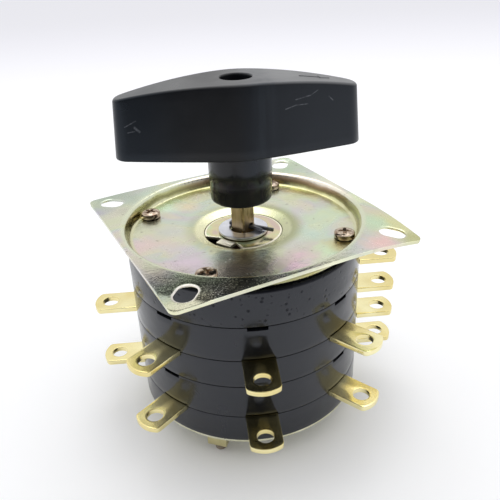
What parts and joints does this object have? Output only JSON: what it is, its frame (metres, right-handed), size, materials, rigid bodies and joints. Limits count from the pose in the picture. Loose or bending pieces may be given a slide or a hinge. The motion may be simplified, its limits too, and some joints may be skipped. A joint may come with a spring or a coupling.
{
  "type": "rotary wafer switch",
  "caption": "Rotary switch with a square sheet metal flange, stacked round moulded wafers, radial solder tabs and a lever handle.",
  "frame": {"origin": "bottom centre, on the shaft's axis at the ends of the clamp bolts", "axes": "+Z along the shaft towards the handle, X and Y along the sides of the mounting plate"},
  "size_m": [0.106, 0.106, 0.1245],
  "materials": {
    "handle_plastic": "satin black moulding with fine scratches",
    "black_bakelite": "glossy black thermoset",
    "brown_bakelite": "dull brown thermoset",
    "yellow_zinc": "yellow passivated zinc with pale rainbow tones",
    "dark_zinc": "brown-gold passivated zinc",
    "bright_zinc": "bluish white zinc",
    "dark_steel": "blackened steel",
    "spring_steel": "plain spring steel",
    "brass": "bright stamped brass"
  },
  "bodies": {
    "body": {"mounting_plate": "yellow_zinc", "clamp_bolt_1": "dark_zinc", "clamp_bolt_2": "dark_zinc", "clamp_bolt_3": "dark_zinc", "clamp_bolt_4": "dark_zinc", "clamp_nut_1": "yellow_zinc", "clamp_nut_2": "yellow_zinc", "clamp_nut_3": "yellow_zinc", "clamp_nut_4": "yellow_zinc", "stop_disc": "yellow_zinc", "detent_housing": "black_bakelite", "detent_spring_1": "spring_steel", "detent_spring_2": "spring_steel", "upper_wafer_1": "black_bakelite", "lower_wafer_1": "black_bakelite", "upper_wafer_2": "black_bakelite", "lower_wafer_2": "black_bakelite", "terminal_1_1": "brass", "terminal_1_2": "brass", "terminal_1_3": "brass", "terminal_1_4": "brass", "terminal_1_5": "brass", "terminal_1_6": "brass", "terminal_1_7": "brass", "terminal_1_8": "brass", "common_terminal_1": "brass", "terminal_2_1": "brass", "terminal_2_2": "brass", "terminal_2_3": "brass", "terminal_2_4": "brass", "terminal_2_5": "brass", "terminal_2_6": "brass", "terminal_2_7": "brass", "terminal_2_8": "brass", "common_terminal_2": "brass", "rear_plate": "yellow_zinc"},
    "shaft_assembly": {"lever_handle": "handle_plastic", "handle_screw": "bright_zinc", "shaft": "dark_zinc", "shaft_washer": "bright_zinc", "split_pin": "dark_steel", "detent_wheel": "brown_bakelite", "rotor_1": "brown_bakelite", "rotor_2": "brown_bakelite", "contact_blade_1": "brass", "contact_blade_2": "brass", "rear_clip": "dark_steel"}
  },
  "joints": [
    {"name": "shaft_turn", "type": "hinge", "parent": "body", "child": "shaft_assembly", "pos_m": [0, 0, 0.07597], "axis": [0, 0, 1], "range_deg": [-180, 135], "deforming": ["detent_spring_1", "detent_spring_2"]}
  ]
}
